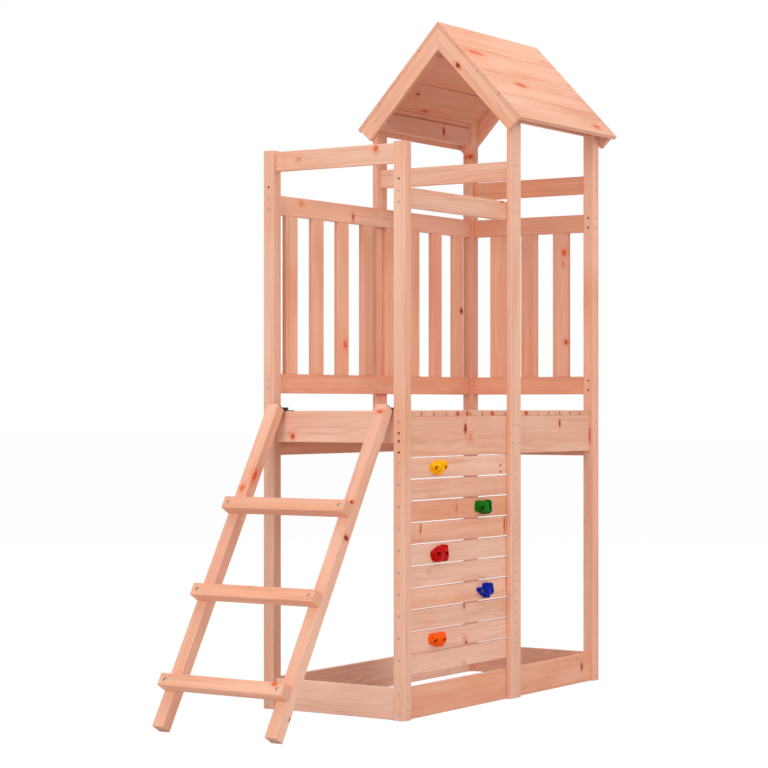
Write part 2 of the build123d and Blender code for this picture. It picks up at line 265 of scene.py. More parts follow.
    # knots: a warm cloud, a dark heart with its own rings, and a thin rim
    cloud = blended(tree, maths(tree, "MULTIPLY", tone, 0.5), pineLook["knotOrange"], pineLook["ringLine"])
    color = blended(tree, maths(tree, "MULTIPLY", maths(tree, "POWER", halo, 2.0), 0.5), color, cloud)
    heart = blended(tree, ramped(tree, tone, 0.1, 0.9, kind="LINEAR"), pineLook["knotOrange"], pineLook["knotRed"])
    knotRing = ramped(tree, maths(tree, "SINE", maths(tree, "MULTIPLY", gap, 14)), -1, 1, 0.0, 0.22)
    heart = blended(tree, knotRing, heart, pineLook["knotRim"])
    color = blended(tree, maths(tree, "MULTIPLY", core, 0.94), color, heart)
    bright = ramped(tree, diceXyz.outputs[2], 0, 1, 0.955, 1.04, kind="LINEAR")
    color = blended(tree, 1.0, color, put(tree, "ShaderNodeCombineColor", {0: bright, 1: bright, 2: bright}).outputs[0],
                    mode="MULTIPLY")

    height = maths(tree, "ADD", maths(tree, "MULTIPLY", fibre, 0.6), maths(tree, "MULTIPLY", late, 0.5))
    height = maths(tree, "ADD", height, maths(tree, "MULTIPLY", core, 0.5))
    rough = ramped(tree, fibre, 0.2, 0.8, 0.52, 0.68, kind="LINEAR")
    rough = maths(tree, "SUBTRACT", rough, maths(tree, "MULTIPLY", core, 0.12))
    result = tree.nodes.new("NodeGroupOutput")
    tree.links.new(color, result.inputs["Color"])
    tree.links.new(rough, result.inputs["Roughness"])
    tree.links.new(height, result.inputs["Height"])
    return group


pineGroup = makePineGroup()
print("pine group made")


def turned(point, axis, angle):
    """A point as the board's own pattern sees it, before its axes are put in order."""
    return Quaternion(axis, angle) @ Vector(point) if angle else Vector(point)


def ordered(vector, order):
    return Vector(["XYZ".index(letter) for letter in order]) if vector is None else Vector(
        [vector["XYZ".index(letter)] for letter in order])


def makePine(name, order, seed, turn=(0, 0, 1), angle=0.0, pivot=(0, 0, 0), centre=(0, 0, 0),
             strip=None, knots=(), chance=0.3, warmth=0.0, lightnessAndPaintedLight=0.0):
    # order names the axes along, across and through the grain
    material = bpy.data.materials.new(name)
    material.use_nodes = True
    tree = material.node_tree
    shader = tree.nodes["Principled BSDF"]
    where = put(tree, "ShaderNodeTexCoord").outputs["Object"]
    facing = put(tree, "ShaderNodeNewGeometry").outputs["True Normal"]
    where = vectorMaths(tree, "SUBTRACT", where, pivot)
    if angle:
        where = put(tree, "ShaderNodeVectorRotate", {"Vector": where, "Axis": turn, "Angle": angle},
                    rotation_type="AXIS_ANGLE").outputs[0]
        facing = put(tree, "ShaderNodeVectorRotate", {"Vector": facing, "Axis": turn, "Angle": angle},
                     rotation_type="AXIS_ANGLE").outputs[0]
    parts = put(tree, "ShaderNodeSeparateXYZ", {0: where}).outputs
    faceParts = put(tree, "ShaderNodeSeparateXYZ", {0: facing}).outputs
    grainAxis = "XYZ".index(order[0])
    across = "XYZ".index(order[1])
    end = maths(tree, "GREATER_THAN", maths(tree, "ABSOLUTE", faceParts[grainAxis]), 0.72)
    middle = ordered(turned(Vector(centre) - Vector(pivot), turn, angle), order)
    plain = put(tree, "ShaderNodeCombineXYZ",
                {i: parts["XYZ".index(letter)] for i, letter in enumerate(order)}).outputs[0]
    plain = vectorMaths(tree, "SUBTRACT", plain, middle)
    seedSocket = seed
    place = plain
    if strip:
        first, pitch, width = strip   # along the across axis, in the turned frame
        count = maths(tree, "FLOOR", maths(tree, "DIVIDE", maths(tree, "SUBTRACT", parts[across], first), pitch))
        seedSocket = maths(tree, "ADD", seed, count)
        local = maths(tree, "SUBTRACT", parts[across], maths(tree, "MULTIPLY_ADD", count, pitch, first + width / 2))
        plainParts = put(tree, "ShaderNodeSeparateXYZ", {0: plain}).outputs
        place = put(tree, "ShaderNodeCombineXYZ", {0: plainParts[0], 1: local, 2: plainParts[2]}).outputs[0]
    gap, tone = None, None
    for point, size, knotTone, *faint in knots:
        spot = ordered(turned(Vector(point) - Vector(pivot), turn, angle), order) - middle
        away = vectorMaths(tree, "SUBTRACT", plain, spot)
        away = vectorMaths(tree, "DIVIDE", away, (size[0], size[1], size[2]))
        reach = vectorMaths(tree, "LENGTH", away, out=1)
        if faint:    # only its warm cloud shows
            reach = maths(tree, "ADD", reach, faint[0])
        if gap is None:
            gap, tone = reach, knotTone
        else:
            nearer = maths(tree, "LESS_THAN", reach, gap)
            tone = maths(tree, "ADD", maths(tree, "MULTIPLY", nearer, knotTone),
                         maths(tree, "MULTIPLY", maths(tree, "SUBTRACT", 1, nearer), tone))
            gap = maths(tree, "MINIMUM", reach, gap)
    board = tree.nodes.new("ShaderNodeGroup")
    board.node_tree = pineGroup
    for key, value in (("Place", place), ("Seed", seedSocket), ("KnotGap", 60.0 if gap is None else gap),
                       ("KnotTone", 0.0 if tone is None else tone), ("ChanceKnots", chance), ("End", end),
                       ("Warmth", warmth), ("Lightness", lightnessAndPaintedLight)):
        if isinstance(value, bpy.types.NodeSocket):
            tree.links.new(value, board.inputs[key])
        else:
            board.inputs[key].default_value = value
    bump = put(tree, "ShaderNodeBump", {"Strength": 0.35, "Distance": 0.0006, "Height": board.outputs["Height"]})
    tree.links.new(board.outputs["Color"], shader.inputs["Base Color"])
    tree.links.new(board.outputs["Roughness"], shader.inputs["Roughness"])
    tree.links.new(bump.outputs[0], shader.inputs["Normal"])
    shader.inputs["Specular IOR Level"].default_value = 0.2
    return material


# ---- which way the grain of each piece runs, and the knots the photograph shows

pitch, lean = tower["roofPitch"], tower["ladderLean"]
ridgeLine = (0, 0, tower["ridge"])
stripPlanks = {"first": nodeBox("deck_planks")[0].x, "count": 16, "width": 0.070}
stripPlanks["pitch"] = (nodeBox("deck_planks")[1].x - 0.070 - stripPlanks["first"]) / 15
stripLeft = {"first": nodeBox("left_fence_pickets")[0].x}
stripLeft["pitch"] = (nodeBox("left_fence_pickets")[1].x - 0.070 - stripLeft["first"]) / 7
stripRear = {"first": nodeBox("rear_fence_pickets")[0].y}
stripRear["pitch"] = (nodeBox("rear_fence_pickets")[1].y - 0.070 - stripRear["first"]) / 2
roofWidth = 0.527
roofBoardPitch = (roofWidth + 0.0015) / 4

# size of a knot: along, across and through the grain, in metres; tone 0 orange to 1 dark red
shownKnots = {
    "front_right_rafter": [((0.308, -0.0895, 2.348), (0.013, 0.009, 0.1), 1.0)],
    "roof_boards_right": [
        ((0.397, -0.108, 2.406), (0.056, 0.011, 0.1), 0.05),
        ((0.559, -0.215, 2.294), (0.038, 0.012, 0.1), 0.2),
        ((0.941, -0.335, 2.167), (0.026, 0.011, 0.1), 0.3),
        ((0.988, -0.067, 2.450), (0.024, 0.008, 0.1), 0.1, 0.7),
    ],
    "roof_boards_left": [
        ((0.486, 0.202, 2.284), (0.020, 0.013, 0.1), 1.0, 0.4),
        ((0.608, 0.248, 2.235), (0.040, 0.011, 0.1), 0.2, 0.4),
    ],
    "left_eave_beam": [((0.778, 0.2675, 2.173), (0.009, 0.018, 0.1), 0.95)],
    "right_top_rail": [((0.297, -0.2875, 1.830), (0.012, 0.008, 0.1), 0.5, 0.2)],
    "right_ground_board": [((0.905, -0.2875, 0.061), (0.009, 0.018, 0.1), 0.7)],
    "right_deck_beam": [
        ((0.0405, -0.2875, 0.998), (0.010, 0.021, 0.1), 0.95),
        ((0.075, -0.2875, 0.965), (0.024, 0.017, 0.1), 0.3, 0.7),
        ((0.970, -0.2875, 0.961), (0.007, 0.036, 0.1), 0.45),
        ((0.729, -0.2875, 1.013), (0.008, 0.015, 0.1), 0.85),
    ],
    "deck_front_board": [
        ((-0.366, 0.180, 0.971), (0.010, 0.010, 0.1), 0.35),
        ((-0.366, 0.195, 0.982), (0.010, 0.008, 0.1), 0.3, 0.8),
    ],
    "left_fence_top_rail": [
        ((0.139, 0.2675, 1.788), (0.011, 0.024, 0.1), 0.6, 0.35),
        ((-0.191, 0.2675, 1.813), (0.024, 0.014, 0.1), 0.1, 0.65),
    ],
    "left_fence_pickets": [
        ((0.911, 0.2675, 1.462), (0.013, 0.012, 0.1), 1.0),
        ((0.088, 0.2675, 1.307), (0.017, 0.014, 0.1), 0.25, 0.2),
    ],
    "rear_fence_pickets": [
        ((0.989, -0.171, 1.3315), (0.010, 0.008, 0.1), 0.4),
        ((0.989, -0.162, 1.685), (0.016, 0.012, 0.1), 0.2, 0.15),
        ((0.989, -0.158, 1.640), (0.022, 0.010, 0.1), 0.2, 0.7),
    ],
    "wall_board_01": [
        ((0.285, -0.2875, 0.861), (0.006, 0.004, 0.1), 0.9),
        ((0.285, -0.2875, 0.837), (0.006, 0.004, 0.1), 0.9),
    ],
    "wall_board_03": [((-0.020, -0.2875, 0.716), (0.008, 0.024, 0.1), 0.4, 0.55)],
    "wall_board_04": [
        ((-0.256, -0.2875, 0.655), (0.007, 0.026, 0.1), 0.3, 0.2),
        ((0.313, -0.2875, 0.645), (0.006, 0.034, 0.1), 0.35),
    ],
    "wall_board_06": [((-0.200, -0.2875, 0.500), (0.018, 0.014, 0.1), 0.3, 0.9)],
    "wall_board_07": [((0.333, -0.2875, 0.430), (0.007, 0.020, 0.1), 0.4)],
    "wall_board_08": [((0.031, -0.2875, 0.366), (0.006, 0.012, 0.1), 0.6)],
    "wall_board_09": [
        ((0.045, -0.2875, 0.229), (0.008, 0.011, 0.1), 0.65),
        ((0.036, -0.2875, 0.245), (0.014, 0.020, 0.1), 0.5, 0.8),
    ],
    "wall_board_10": [((0.031, -0.2875, 0.160), (0.007, 0.012, 0.1), 0.5, 0.5)],
    "front_header_rail": [
        ((-0.366, 0.1555, 1.951), (0.016, 0.013, 0.1), 0.4, 0.65),
        ((-0.366, -0.175, 1.968), (0.013, 0.020, 0.1), 0.15, 0.35),
    ],
    "deck_planks": [
        ((-0.014, -0.290, 1.052), (0.05, 0.011, 0.009), 0.45),
        ((0.053, -0.290, 1.052), (0.05, 0.010, 0.009), 0.6),
        ((0.226, -0.290, 1.052), (0.05, 0.011, 0.009), 0.5),
        ((0.472, -0.290, 1.052), (0.05, 0.011, 0.009), 0.45),
    ],
    "right_stile": [
        ((-0.4322, -0.2355, 1.0603), (0.008, 0.008, 0.014), 0.0),
        ((-0.6597, -0.2535, 0.6394), (0.010, 0.015, 0.012), 1.0),
        ((-0.614, -0.2452, 0.7578), (0.007, 0.008, 0.009), 0.6),
        ((-0.9766, -0.2535, 0.0727), (0.007, 0.006, 0.006), 0.9),
    ],
    "left_stile": [
        ((-0.5514, 0.2085, 0.8357), (0.032, 0.016, 0.010), 0.05, 0.35),
        ((-0.5913, 0.2347, 0.7955), (0.018, 0.012, 0.014), 0.1, 0.4),
    ],
    "ladder_step_1": [((-1.008, -0.214, 0.190), (0.011, 0.009, 0.02), 0.15)],
    "ladder_step_2": [((-0.829, 0.021, 0.480), (0.012, 0.006, 0.02), 0.2, 0.5)],
    "rear_left_post": [((0.976, 0.262, 2.092), (0.030, 0.030, 0.1), 0.45, 0.6)],
}
# how far a board leans to orange, 0 to 1
warmBoards = {
    "wall_board_02": 0.25, "wall_board_03": 0.6, "wall_board_04": 0.3, "wall_board_07": 0.2, "right_ground_board": 0.4,
    "left_fence_pickets": 0.2, "rear_fence_pickets": 0.12, "left_fence_bottom_rail": 0.4,
    "rear_fence_bottom_rail": 0.4, "rear_fence_top_rail": 0.3, "left_fence_top_rail": 0.1,
    "rear_right_post": 0.05, "rear_left_post": 0.3, "right_deck_beam": 0.12,
    "roof_boards_right": 0.15, "roof_boards_left": 0.35, "ladder_step_1": 0.25,
    "ladder_step_2": 0.45, "ladder_step_3": 0.45, "rear_header_rail": 0.6,
}
# and how far it leans to a lighter tone: partly the board's own paler tone, partly painted light on boards the lamps
# leave in shade, as the front and left ground boards
paleToneAndPaintedLightBoards = {
    "front_ground_board": 0.7, "left_ground_board": 0.9, "wall_board_05": 0.4, "wall_board_06": 0.35,
    "wall_board_08": 0.15, "wall_board_09": 0.5, "wall_board_10": 0.5,
    "front_header_rail": 0.25, "deck_front_board": 0.3, "front_left_post": 0.2, "middle_right_upright": 0.15,
    "middle_cross_bar": 0.2, "rear_fence_pickets": 0.1, "wall_board_01": 0.1, "wall_board_02": 0.12,
}


def layoutOf(name):
    """Axis order and turn for a node's grain, from its name."""
    if name == "deck_planks":
        return dict(order="YXZ", strip=(stripPlanks["first"], stripPlanks["pitch"], 0.070))
    if name == "left_fence_pickets":
        return dict(order="ZXY", strip=(stripLeft["first"], stripLeft["pitch"], 0.070))
    if name == "rear_fence_pickets":
        return dict(order="ZYX", strip=(stripRear["first"], stripRear["pitch"], 0.070))
    if name == "roof_boards_right":
        return dict(order="XYZ", turn=(1, 0, 0), angle=-pitch, pivot=ridgeLine,
                    strip=(-roofWidth, roofBoardPitch, roofBoardPitch - 0.0015))
    if name == "roof_boards_left":
        return dict(order="XYZ", turn=(1, 0, 0), angle=pitch, pivot=ridgeLine,
                    strip=(0.0, roofBoardPitch, roofBoardPitch - 0.0015))
    if name.endswith("rafter"):
        return dict(order="YZX", turn=(1, 0, 0), angle=pitch if "left" in name else -pitch, pivot=ridgeLine)
    if name.endswith("stile"):
        return dict(order="ZXY", turn=(0, 1, 0), angle=-lean)
    if name.startswith("ladder_step"):
        return dict(order="YZX", turn=(0, 1, 0), angle=-lean)
    if name.endswith("post") or name.endswith("upright"):
        return dict(order="ZXY")
    low, high = nodeBox(name)
    return dict(order="XZY") if high.x - low.x > high.y - low.y else dict(order="YZX")


# boards that face the camera and show no knot in the photograph
clearBoards = ("wall_board_02", "wall_board_05", "front_right_post", "front_left_post", "middle_right_upright",
               "rear_right_post", "middle_cross_bar", "front_ground_board", "front_left_rafter",
               "left_ground_board", "middle_left_upright", "left_fence_bottom_rail", "rear_fence_bottom_rail",
               "rear_fence_top_rail", "rear_header_rail", "ladder_step_3")
woodNodes = [n for n in sorted(nodes) if not any(
    word in n for word in ("hold", "bolts", "nuts", "bracket"))]
pineOf = {}
for number, name in enumerate(woodNodes):
    low, high = nodeBox(name)
    knots = shownKnots.get(name, ())
    chance = 0.0 if knots or name in clearBoards else 0.22
    pineOf[name] = makePine("pine_" + name, seed=11.0 + number * 17.0, centre=(low + high) / 2,
                            knots=knots, chance=chance, warmth=warmBoards.get(name, 0.0),
                            lightnessAndPaintedLight=paleToneAndPaintedLightBoards.get(name, 0.0), **layoutOf(name))
    nodes[name].data.materials.clear()
    nodes[name].data.materials.append(pineOf[name])
print("pine on", len(woodNodes), "nodes")


# ---- other finishes


def makeMetal(name, color, roughness, mottle, metallic=1.0):
    # a colour that varies a little, with fine pits in the gloss
    material = bpy.data.materials.new(name)
    material.use_nodes = True
    tree = material.node_tree
    shader = tree.nodes["Principled BSDF"]
    where = put(tree, "ShaderNodeTexCoord").outputs["Object"]
    cloudy = noise(tree, scaled(tree, where, (60, 60, 60)), detail=4)
    fine = noise(tree, scaled(tree, where, (900, 900, 900)), detail=2)
    dark = tuple(channel * mottle for channel in color[:3]) + (1.0,)
    tint = blended(tree, ramped(tree, cloudy, 0.35, 0.7), color, dark)
    tree.links.new(tint, shader.inputs["Base Color"])
    tree.links.new(ramped(tree, fine, 0.3, 0.7, roughness - 0.08, roughness + 0.1), shader.inputs["Roughness"])
    bump = put(tree, "ShaderNodeBump", {"Strength": 0.12, "Distance": 0.0002, "Height": fine})
    tree.links.new(bump.outputs[0], shader.inputs["Normal"])
    shader.inputs["Metallic"].default_value = metallic
    return material


def makePlastic(name, color, dark):
    # moulded plastic loaded with sand: a soft gloss with a fine grit under it
    material = bpy.data.materials.new(name)
    material.use_nodes = True
    tree = material.node_tree
    shader = tree.nodes["Principled BSDF"]
    where = put(tree, "ShaderNodeTexCoord").outputs["Object"]
    grit = noise(tree, scaled(tree, where, (520, 520, 520)), detail=3, roughness=0.6)
    swirl = noise(tree, scaled(tree, where, (45, 45, 45)), detail=3)
    tint = blended(tree, ramped(tree, swirl, 0.4, 0.75, 0, 0.55), color, dark)
    tint = blended(tree, ramped(tree, grit, 0.62, 0.8, 0, 0.35), tint, dark)
    tree.links.new(tint, shader.inputs["Base Color"])
    tree.links.new(ramped(tree, swirl, 0.2, 0.8, 0.34, 0.5), shader.inputs["Roughness"])
    bump = put(tree, "ShaderNodeBump", {"Strength": 0.45, "Distance": 0.0005, "Height": grit})
    tree.links.new(bump.outputs[0], shader.inputs["Normal"])
    shader.inputs["Specular IOR Level"].default_value = 0.08
    return material


zincSteel = makeMetal("zincSteel", srgb(196, 194, 190), 0.46, 0.8)
darkSteel = makeMetal("darkSteel", srgb(104, 94, 96), 0.5, 0.6, metallic=0.0)
blackSteel = makeMetal("blackSteel", srgb(84, 74, 68), 0.5, 0.7, metallic=0.0)
# the cut faces of screw seats and open holes: the pine darkened by a painted shade, as falls inside a recess
cutWoodPaintedShade = makePine("cutWoodPaintedShade", "ZXY", seed=3.0, chance=0.0)
cutBoard = [n for n in cutWoodPaintedShade.node_tree.nodes if n.type == "GROUP"][0]
cutShader = cutWoodPaintedShade.node_tree.nodes["Principled BSDF"]
shade = blended(cutWoodPaintedShade.node_tree, 1.0, cutBoard.outputs["Color"], srgb(190, 150, 130), mode="MULTIPLY")
cutWoodPaintedShade.node_tree.links.new(shade, cutShader.inputs["Base Color"])


# planed boards have their sharp edges taken off
easedEdge = {"width": 1.2 * mm, "segments": 2, "sharper": math.radians(60)}


def easeEdges(thing):
    thing.modifiers.new("merge", "WELD").merge_threshold = 1e-6
    flat = thing.modifiers.new("flat", "DECIMATE")
    flat.decimate_type, flat.angle_limit = "DISSOLVE", math.radians(0.5)
    ease = thing.modifiers.new("ease", "BEVEL")
    ease.width, ease.segments = easedEdge["width"], easedEdge["segments"]
    ease.limit_method, ease.angle_limit = "ANGLE", easedEdge["sharper"]


for name in woodNodes:
    easeEdges(nodes[name])

for name in ("right_ladder_bracket", "left_ladder_bracket"):
    nodes[name].data.materials.clear()
    nodes[name].data.materials.append(darkSteel)


# ---- objects in the scene


def addObject(name, mesh, material=None):
    thing = bpy.data.objects.new(name, mesh)
    bpy.context.scene.collection.objects.link(thing)
    if material:
        mesh.materials.clear()
        mesh.materials.append(material)
    return thing


def meshFrom(name, bm):
    mesh = bpy.data.meshes.new(name)
    bm.to_mesh(mesh)
    bm.free()
    return mesh


def settled(thing, name):
    """The object with its modifiers worked out, as a plain new mesh."""
    graph = bpy.context.evaluated_depsgraph_get()
    mesh = bpy.data.meshes.new_from_object(thing.evaluated_get(graph))
    mesh.name = name
    return mesh


def discard(*things):
    for thing in things:
        bpy.data.objects.remove(thing)


# ---- screws: where they go, by joint

screwPlan = {
    "headRadius": 4.7 * mm,
    "sunk": 0.3 * mm,           # of the head below the wood
    "seatRadius": 5.1 * mm,
    "seatDepth": 3.4 * mm,
    "boreRadius": 3.6 * mm,     # open holes drilled for parts that aren't fitted
    "boreDepth": 16 * mm,
    "rowStep": 18.5 * mm,       # from a 70 mm board's middle to each of its screws
}
front, rear, side = tower["front"], tower["rear"], tower["side"]
halfPost = tower["post"] / 2
screws = {}                     # node: list of (point, direction out of the wood)
bores = {}


def screw(node, point, out):
    screws.setdefault(node, []).append((Vector(point), Vector(out)))


def bore(node, point, out):
    bores.setdefault(node, []).append((Vector(point), Vector(out)))


def middleHeight(node):
    low, high = nodeBox(node)
    return (low.z + high.z) / 2


step = screwPlan["rowStep"]
wallBoards = [f"wall_board_{number:02d}" for number in range(1, 11)]
sides = {"right": -1, "left": 1}
for sideName, sign in sides.items():
    postMiddle = sign * (side - halfPost)
    # through the front posts into the side boards, and open holes for a swing arm
    post = f"front_{sideName}_post"
    heights = [middleHeight(f"{sideName}_ground_board") + d for d in (-35 * mm, 35 * mm)]
    heights.append(middleHeight(f"{sideName}_deck_beam") + 52 * mm)
    if sideName == "right":
        heights += [middleHeight(board) + 20 * mm for board in wallBoards]
        heights += [middleHeight("right_top_rail") + d for d in (-step, step)]
    else:
        for rail in ("left_fence_top_rail", "left_fence_bottom_rail"):
            heights += [middleHeight(rail) + d for d in (-step, step)]
    for height in heights:
        screw(post, (front, postMiddle, height), (-1, 0, 0))
    for height in (0.920, 0.958, 0.986, 1.858):
        bore(post, (front, postMiddle, height), (-1, 0, 0))
    # through the front posts into the end boards
    for node, drop in (("front_ground_board", 19), ("deck_front_board", 33), ("front_header_rail", 18.5)):
        for d in (-drop * mm, drop * mm):
            screw(post, (front + halfPost, sign * side, middleHeight(node) + d), (0, sign, 0))
    # the rear posts, from behind and from the side
    post = f"rear_{sideName}_post"
    boards = [(f"{sideName}_ground_board", 35), (f"{sideName}_deck_beam", 52), (f"{sideName}_eave_beam", 15)]
    if sideName == "left":
        boards += [("left_fence_top_rail", 18.5), ("left_fence_bottom_rail", 18.5)]
    for node, drop in boards:
        for d in (-drop * mm, drop * mm):
            screw(post, (rear, postMiddle, middleHeight(node) + d), (1, 0, 0))
    for node, drop in (("rear_ground_board", 35), ("rear_deck_beam", 52), ("rear_fence_bottom_rail", 18.5),
                       ("rear_fence_top_rail", 18.5), ("rear_header_rail", 18.5)):
        for d in (-drop * mm, drop * mm):
            screw(post, (rear - halfPost, sign * side, middleHeight(node) + d), (0, sign, 0))
    if sideName == "right":
        for height in (1.816, 1.779, 1.178, 1.141):
            bore(post, (rear - tower["post"], postMiddle, height), (-1, 0, 0))

# through the right upright from outside, through the left boards from inside
low, high = nodeBox("middle_right_upright")
middleX, outerY = (low.x + high.x) / 2, low.y
upright = "middle_right_upright"
for dx in (-18.7 * mm, 18.7 * mm):
    for dz in (-33 * mm, 33 * mm):
        screw(upright, (middleX + dx, outerY, middleHeight("right_deck_beam") + dz), (0, -1, 0))
    screw(upright, (middleX + dx, outerY, 0.050), (0, -1, 0))
    screw(upright, (middleX + dx * 0.85, outerY, middleHeight("right_top_rail")), (0, -1, 0))
for board in wallBoards:
    for dz in (-20 * mm, 20 * mm):
        screw(upright, (middleX, outerY, middleHeight(board) + dz), (0, -1, 0))
for dz in (-step, step):
    screw(upright, (middleX, outerY, middleHeight("middle_cross_bar") + dz), (0, -1, 0))
    screw("middle_left_upright", (middleX, -outerY, middleHeight("middle_cross_bar") + dz), (0, 1, 0))
innerY = nodeBox("left_fence_top_rail")[0].y
for node in ("left_fence_top_rail", "left_fence_bottom_rail", "left_eave_beam"):
    for dx in (-16 * mm, 16 * mm):
        screw(node, (middleX + dx, innerY, middleHeight(node)), (0, -1, 0))
for dx in (-18.7 * mm, 18.7 * mm):
    for dz in (-33 * mm, 33 * mm):
        screw("left_deck_beam", (middleX + dx, innerY, middleHeight("left_deck_beam") + dz), (0, -1, 0))

# rafters into the uprights and posts
for sideName, sign in sides.items():
    screw(f"front_{sideName}_rafter", (nodeBox(f"front_{sideName}_rafter")[0].x, sign * 0.277, 2.167), (-1, 0, 0))
    screw(f"rear_{sideName}_rafter", (nodeBox(f"rear_{sideName}_rafter")[1].x, sign * 0.277, 2.167), (1, 0, 0))

# the rear header's own pairs, near its ends
headerX = nodeBox("rear_header_rail")[0].x
for y in (-0.219, 0.219):
    for dz in (-step, step):
        screw("rear_header_rail", (headerX, y, middleHeight("rear_header_rail") + dz), (-1, 0, 0))

# planks to the side beams, roof boards to the rafters
deckTop = nodeBox("deck_planks")[1].z
for number in range(stripPlanks["count"]):
    plankX = stripPlanks["first"] + number * stripPlanks["pitch"] + 0.035
    for y in (-0.2775, 0.2775):
        for dx in (-20 * mm, 20 * mm):
            screw("deck_planks", (plankX + dx, y, deckTop), (0, 0, 1))
for sideName, sign in sides.items():
    upSlope = Vector((0, -sign * math.cos(pitch), math.sin(pitch)))
    outward = Vector((0, sign * math.sin(pitch), math.cos(pitch)))
    for number in range(4):
        for rise in (32 * mm, 98 * mm):
            along = -roofWidth + number * roofBoardPitch + rise
            for x in (nodeBox("front_right_rafter")[0].x + 10 * mm, nodeBox("rear_right_rafter")[0].x + 10 * mm):
                spot = Vector((x, 0, tower["ridge"])) + upSlope * along
                screw(f"roof_boards_{sideName}", spot, outward)


# ---- countersinks and open holes, cut from a copy of each board


def ringOf(bm, centre, out, radius, count, twist=0.0):
    turn = out.to_track_quat("Z", "Y")
    return [bm.verts.new(centre + turn @ Vector((
        radius * math.cos(twist + 2 * math.pi * i / count),
        radius * math.sin(twist + 2 * math.pi * i / count), 0))) for i in range(count)]


def sleeve(bm, rings):
    for lower, upper in zip(rings, rings[1:]):
        for i in range(len(lower)):
            j = (i + 1) % len(lower)
            bm.faces.new((lower[i], lower[j], upper[j], upper[i]))


def plug(bm, centre, out, profile, count=16):
    """A closed turned shape, its profile a list of (height, radius) from the bottom up."""
    rings = [ringOf(bm, centre + out * height, out, radius, count) for height, radius in profile]
    bm.faces.new(list(reversed(rings[0])))
    sleeve(bm, rings)
    bm.faces.new(rings[-1])


def carved(name):
    """A copy of a board with its screw seats and open holes cut in it."""
    bm = bmesh.new()
    bm.from_mesh(nodes[name].data)
    bmesh.ops.remove_doubles(bm, verts=bm.verts, dist=1e-6)
    blank = addObject(name + ".blank", meshFrom(name + ".blank", bm))
    blank.data.materials.clear()
    blank.data.materials.append(pineOf[name])
    blank.data.materials.append(cutWoodPaintedShade)
    easeEdges(blank)
    bm = bmesh.new()
    seat, depth = screwPlan["seatRadius"], screwPlan["seatDepth"]
    for point, out in screws.get(name, ()):
        plug(bm, point, out, [(-depth, 2.4 * mm), (-0.4 * mm, seat), (0.6 * mm, seat)])
    for point, out in bores.get(name, ()):
        radius = screwPlan["boreRadius"]
        plug(bm, point, out, [(-screwPlan["boreDepth"], radius), (-1 * mm, radius), (0.6 * mm, radius + 1.2 * mm)])
    bmesh.ops.recalc_face_normals(bm, faces=bm.faces)
    # the cut faces take the pine with the painted shade
    for face in bm.faces:
        face.material_index = 1
    cutter = addObject(name + ".cutter", meshFrom(name + ".cutter", bm))
    cutter.data.materials.append(pineOf[name])
    cutter.data.materials.append(cutWoodPaintedShade)
    cut = blank.modifiers.new("cut", "BOOLEAN")
    cut.operation, cut.solver, cut.object = "DIFFERENCE", "EXACT", cutter
    mesh = settled(blank, name + ".wood")
    discard(blank, cutter)
    wood = addObject(name + "_drilled", mesh)
    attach(wood, "root")
    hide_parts(name)
    return wood


for name in sorted(set(screws) | set(bores)):
    carved(name)
print("screw seats cut in", len(set(screws) | set(bores)), "boards")


# ---- hardware, set out with geometry nodes


def makeHardwareTree():
    """Instances a piece on every point, its Z along the point's aim, turned at random."""
    tree = bpy.data.node_groups.new("setHardware", "GeometryNodeTree")
    face = tree.interface
    face.new_socket("Geometry", in_out="INPUT", socket_type="NodeSocketGeometry")
    face.new_socket("Piece", in_out="INPUT", socket_type="NodeSocketObject")
    face.new_socket("Turn", in_out="INPUT", socket_type="NodeSocketFloat")
    face.new_socket("Scale", in_out="INPUT", socket_type="NodeSocketFloat")
    face.new_socket("Seed", in_out="INPUT", socket_type="NodeSocketInt")
    face.new_socket("Finish", in_out="INPUT", socket_type="NodeSocketMaterial")
    face.new_socket("Geometry", in_out="OUTPUT", socket_type="NodeSocketGeometry")
    given = tree.nodes.new("NodeGroupInput").outputs
    aim = put(tree, "GeometryNodeInputNamedAttribute", {"Name": "aim"}, data_type="FLOAT_VECTOR").outputs[0]
    align = put(tree, "FunctionNodeAlignRotationToVector", {"Vector": aim}, axis="Z")
    chance = put(tree, "FunctionNodeRandomValue", {"Seed": given["Seed"]}, data_type="FLOAT")
    angle = put(tree, "ShaderNodeMath", {0: [s for s in chance.outputs if s.enabled][0], 1: given["Turn"]},
                operation="MULTIPLY").outputs[0]
    spin = put(tree, "FunctionNodeAxisAngleToRotation", {"Angle": angle})
    spin.inputs["Axis"].default_value = (0, 0, 1)
    turn = put(tree, "FunctionNodeRotateRotation", {0: align.outputs[0], 1: spin.outputs[0]}, rotation_space="LOCAL")
    piece = put(tree, "GeometryNodeObjectInfo", {"Object": given["Piece"]})
    spread = put(tree, "GeometryNodeInstanceOnPoints", {
        "Points": given["Geometry"], "Instance": piece.outputs["Geometry"],
        "Rotation": turn.outputs[0], "Scale": given["Scale"]})
    real = put(tree, "GeometryNodeRealizeInstances", {0: spread.outputs[0]})
    painted = put(tree, "GeometryNodeSetMaterial", {"Geometry": real.outputs[0], "Material": given["Finish"]})
    out = tree.nodes.new("NodeGroupOutput")
    tree.links.new(painted.outputs[0], out.inputs[0])
    return tree


hardwareTree = makeHardwareTree()


